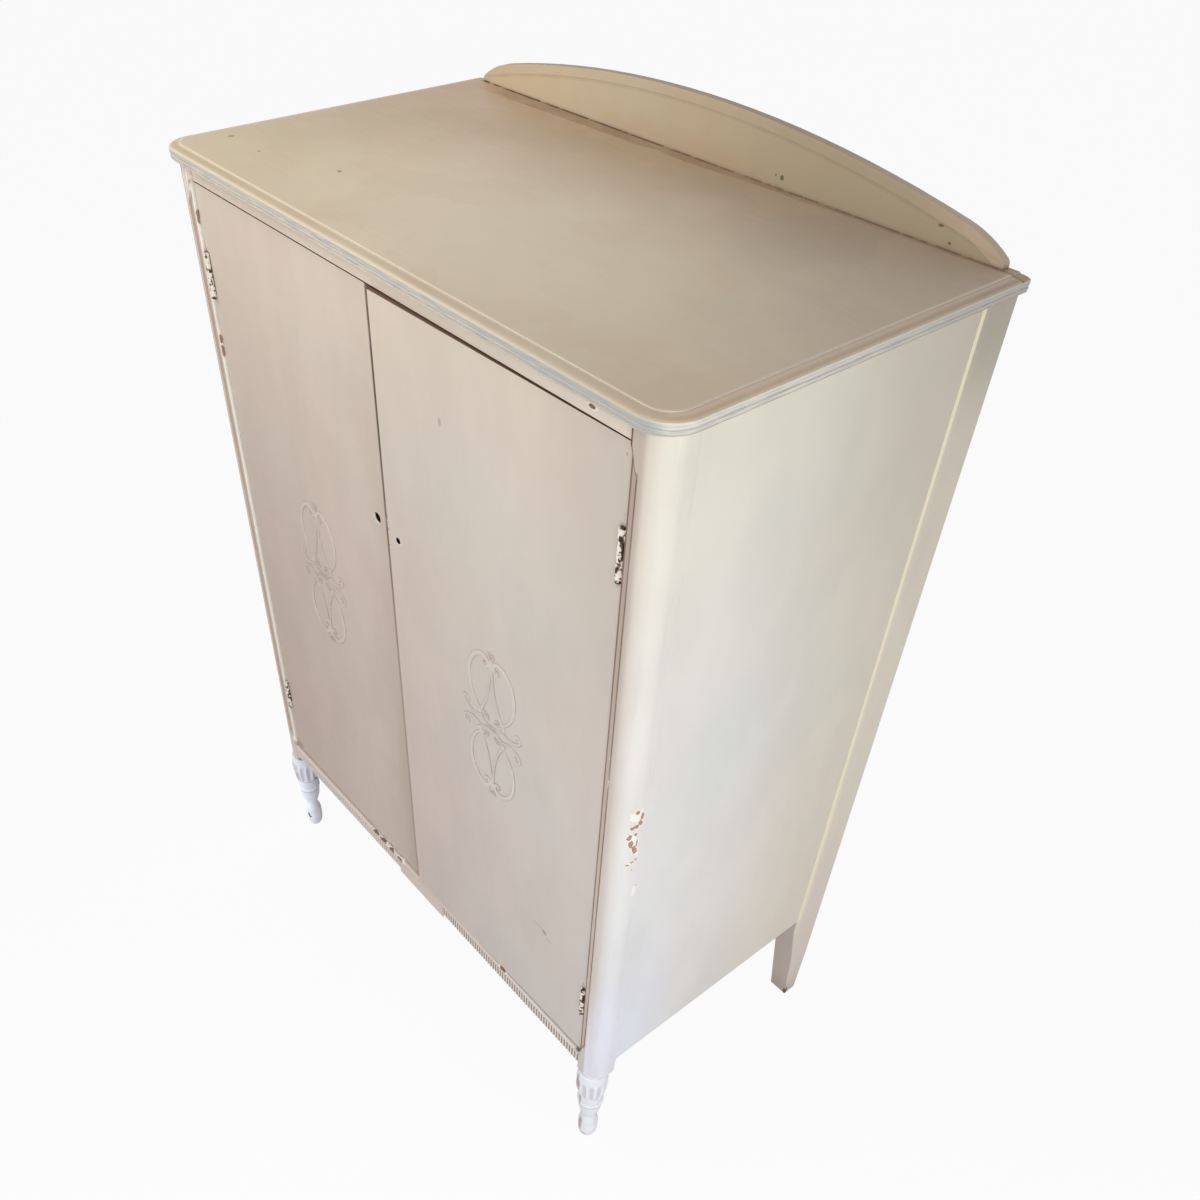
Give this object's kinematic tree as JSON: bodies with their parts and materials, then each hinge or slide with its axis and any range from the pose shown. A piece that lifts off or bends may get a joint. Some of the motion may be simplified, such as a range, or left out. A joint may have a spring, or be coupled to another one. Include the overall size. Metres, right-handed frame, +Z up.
{
  "type": "armoire",
  "caption": "Free-standing painted armoire with a moulded top, an arched back gallery, hinged doors over a hanging space and hat shelf, a fluted rail and turned front feet.",
  "frame": {"origin": "on the floor under the middle of the moulded top", "axes": "+X to the right seen from the front, +Y to the back, +Z up"},
  "size_m": [0.965, 0.529, 1.4125],
  "materials": {
    "painted_wood": "aged off-white paint, satin, worn through on edges",
    "bare_wood": "bare secondary wood, planed",
    "back_ply": "bare plywood",
    "rod_wood": "turned hardwood, thin oil",
    "painted_hinge": "steel hinges painted over with the case",
    "steel": "plain zinc-grey steel"
  },
  "bodies": {
    "case": {"top_slab": "painted_wood", "gallery_board": "painted_wood", "front_post_l": "painted_wood", "front_post_r": "painted_wood", "front_foot_l": "painted_wood", "front_foot_r": "painted_wood", "rear_post_l": "painted_wood", "rear_post_r": "painted_wood", "side_panel_l": "painted_wood", "side_panel_r": "painted_wood", "back_panel": "back_ply", "top_front_rail": "painted_wood", "top_back_rail": "bare_wood", "top_side_rail_l": "bare_wood", "top_side_rail_r": "bare_wood", "bottom_front_rail": "painted_wood", "rail_bead": "painted_wood", "rail_tablet": "painted_wood", "bottom_back_rail": "bare_wood", "bottom_side_rail_l": "bare_wood", "bottom_side_rail_r": "bare_wood", "bottom_board": "bare_wood", "hat_shelf": "bare_wood", "shelf_cleat_l": "bare_wood", "shelf_cleat_r": "bare_wood", "hanging_rod": "rod_wood", "rod_socket_l": "rod_wood", "rod_socket_r": "rod_wood", "door_stop": "bare_wood", "catches": "steel", "hinge_leaf_post_l": "painted_hinge", "hinge_leaf_post_r": "painted_hinge", "hinge_pins_l": "painted_hinge", "hinge_pins_r": "painted_hinge", "post_screws_l": "steel", "post_screws_r": "steel", "glue_blocks": "bare_wood", "gallery_screws": "steel", "top_screws": "steel", "back_nails": "steel"},
    "left_door": {"door_l": "painted_wood", "strike_l": "steel", "hinge_leaf_door_l": "painted_hinge", "door_screws_l": "steel"},
    "right_door": {"door_r": "painted_wood", "strike_r": "steel", "hinge_leaf_door_r": "painted_hinge", "door_screws_r": "steel"}
  },
  "joints": [
    {"name": "left_door_hinge", "type": "hinge", "parent": "case", "child": "left_door", "pos_m": [-0.4255, -0.2501, 0.776], "axis": [0, 0, -1], "range_deg": [0, 150]},
    {"name": "right_door_hinge", "type": "hinge", "parent": "case", "child": "right_door", "pos_m": [0.4255, -0.2501, 0.776], "axis": [0, 0, 1], "range_deg": [-0.9, 149.1]}
  ]
}
